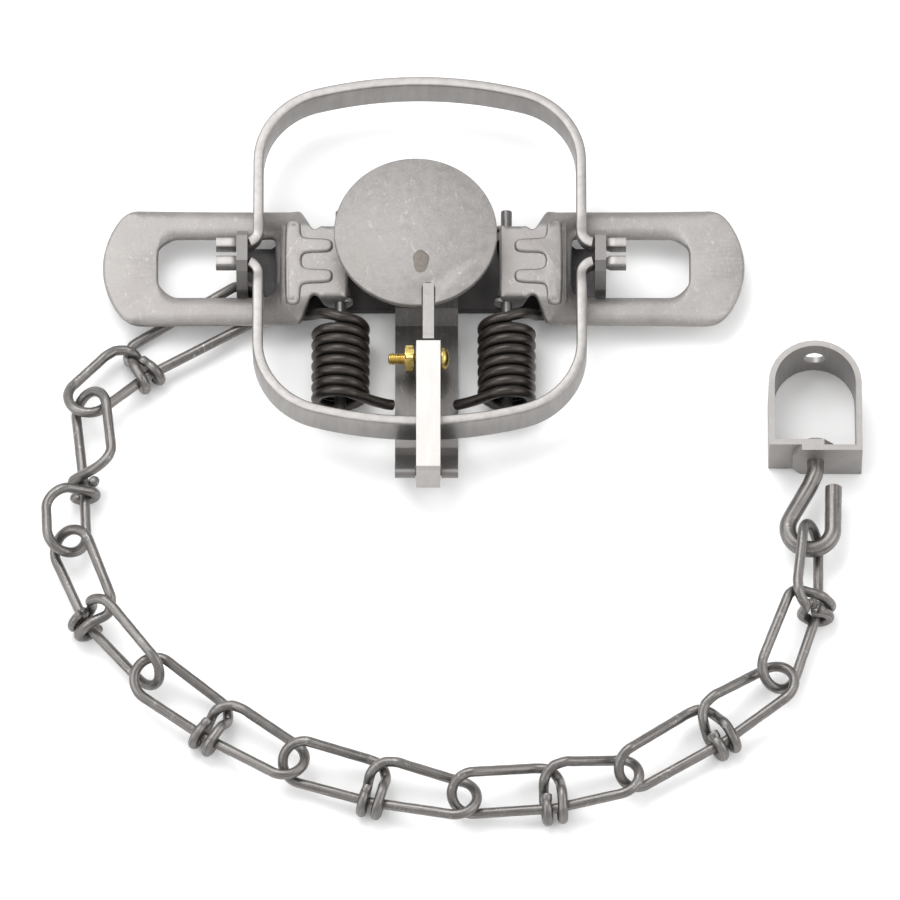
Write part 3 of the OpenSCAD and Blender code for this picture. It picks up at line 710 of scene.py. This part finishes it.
for i in range(len(prof) - 1):
    for q in range(n):
        faces.append((i * n + q, i * n + (q + 1) % n, (i + 1) * n + (q + 1) % n, (i + 1) * n + q))
faces.append(tuple((len(prof) - 1) * n + q for q in range(n)))
faces.append(tuple(q for q in range(n - 1, -1, -1)))
pan = make("pan_casting", verts, faces, 40)
place(pan, "pan", "pan", "pan_disc")
# the shank's head, upset through the pan and finished by hand: a low, uneven oval
verts, faces = [], []
for j in range(7):
    a = math.pi / 2 * j / 7
    for i in range(40):
        g = 2 * math.pi * i / 40
        k = 1 + 0.06 * math.sin(3 * g + 0.7) + 0.04 * math.sin(5 * g)
        verts.append((-0.9 + 2.7 * k * math.cos(a) * math.cos(g), -6.0 + 4.3 * k * math.cos(a) * math.sin(g), PT - 0.05 + 0.35 * math.sin(a)))
for j in range(6):
    for i in range(40):
        faces.append((j * 40 + i, j * 40 + (i + 1) % 40, (j + 1) * 40 + (i + 1) % 40, (j + 1) * 40 + i))
faces.append(tuple(6 * 40 + i for i in range(40)))
faces.append(tuple(range(39, -1, -1)))
place(make("pan_weld_spot", verts, faces, 60), "weld", "pan")

# ---------------------------------------------------------------- brass bolt and nut
BY, BZ, BR = -35.0, 12.0, 2.085
prof = [(-11.8, 1.2), (-11.55, 1.62)]
x = -11.5
while x < -2.7:
    prof += [(x, 1.68), (x + 0.2, 1.72), (x + 0.38, 2.07), (x + 0.46, 2.07), (x + 0.74, 1.7)]
    x += 0.794
x1 = MX + 1.85 + 2.45
prof += [(-2.6, BR), (x1, BR), (x1, 3.75), (x1 + 0.1, 3.9), (x1 + 0.7, 3.9), (x1 + 1.15, 3.72), (x1 + 1.6, 3.4), (x1 + 2.05, 2.85), (x1 + 2.4, 2.1), (x1 + 2.65, 1.2), (x1 + 2.76, 0.35)]
place(lathe("pan_bolt_brass", prof, 44, "x", (0, BY, BZ), 32), "brass", "base", "pan_bolt")
verts, faces = [], []
HN = 72
for x, f in ((-6.2, 0), (-5.85, 1), (-3.55, 1), (-3.2, 0)):
    for i in range(HN):
        g = 2 * math.pi * i / HN
        gg = (g - math.radians(12)) % (math.pi / 3) - math.pi / 6
        r = 4.365 / math.cos(gg)
        r = min(r, 4.45) if f == 0 else min(r, 4.98)
        verts.append((x, BY + r * math.sin(g + math.pi / 2), BZ + r * math.cos(g + math.pi / 2)))
for j in range(3):
    for i in range(HN):
        faces.append((j * HN + i, j * HN + (i + 1) % HN, (j + 1) * HN + (i + 1) % HN, (j + 1) * HN + i))
inner = len(verts)
for x in (-6.2, -3.2):
    for i in range(HN):
        g = 2 * math.pi * i / HN
        verts.append((x, BY + 2.12 * math.sin(g + math.pi / 2), BZ + 2.12 * math.cos(g + math.pi / 2)))
for i in range(HN):
    i2 = (i + 1) % HN
    faces.append((i, i2, inner + i2, inner + i))
    faces.append((3 * HN + i, 3 * HN + i2, inner + HN + i2, inner + HN + i))
    faces.append((inner + i, inner + i2, inner + HN + i2, inner + HN + i))
place(make("pan_nut_brass", verts, faces, 25), "brass", "base", "pan_nut")

# ---------------------------------------------------------------- stage
bpy.ops.mesh.primitive_plane_add(size=6, location=(0, 0, -0.0004))
floor = bpy.context.object
floor.name = "floor"
fm = bpy.data.materials.new("floor_pale")
fm.use_nodes = True
fb = fm.node_tree.nodes["Principled BSDF"]
fb.inputs["Base Color"].default_value = (0.93, 0.93, 0.93, 1)
fb.inputs["Roughness"].default_value = 0.9
fb.inputs["Specular IOR Level"].default_value = 0.1
floor.data.materials.append(fm)

world = bpy.data.worlds.new("studio")
scene.world = world
world.use_nodes = True
bg = world.node_tree.nodes["Background"]
bg.inputs["Color"].default_value = (1, 1, 1, 1)
bg.inputs["Strength"].default_value = 0.9


def area_light(name, loc, target, size, power):
    ld = bpy.data.lights.new(name, "AREA")
    ld.shape = "RECTANGLE"
    ld.size, ld.size_y = size
    ld.energy = power
    ob = bpy.data.objects.new(name, ld)
    scene.collection.objects.link(ob)
    ob.location = loc
    ob.rotation_euler = (Vector(target) - Vector(loc)).to_track_quat("-Z", "Y").to_euler()
    return ob


area_light("key", (-0.35, 0.5, 1.2), (0, -0.05, 0), (1.0, 0.8), 11)
area_light("fill", (0.9, -0.2, 0.7), (0, -0.05, 0), (0.8, 0.8), 4)
area_light("side", (-0.9, -0.3, 0.6), (0, -0.05, 0), (0.8, 0.8), 4)

cam = bpy.data.cameras.new("camera")
cam_ob = bpy.data.objects.new("camera", cam)
scene.collection.objects.link(cam_ob)
el, dist = math.radians(65), 5.0
tgt = Vector((0.0088, -0.0629, 0.0))
cam_ob.location = tgt + Vector((0, -dist * math.cos(el), dist * math.sin(el)))
cam_ob.rotation_euler = (tgt - cam_ob.location).to_track_quat("-Z", "Y").to_euler()
cam.sensor_width = 36
cam.sensor_fit = "HORIZONTAL"
cam.lens = 36 * dist / 0.300
cam.clip_start = 0.05
scene.camera = cam_ob
scene.view_settings.view_transform = "Standard"
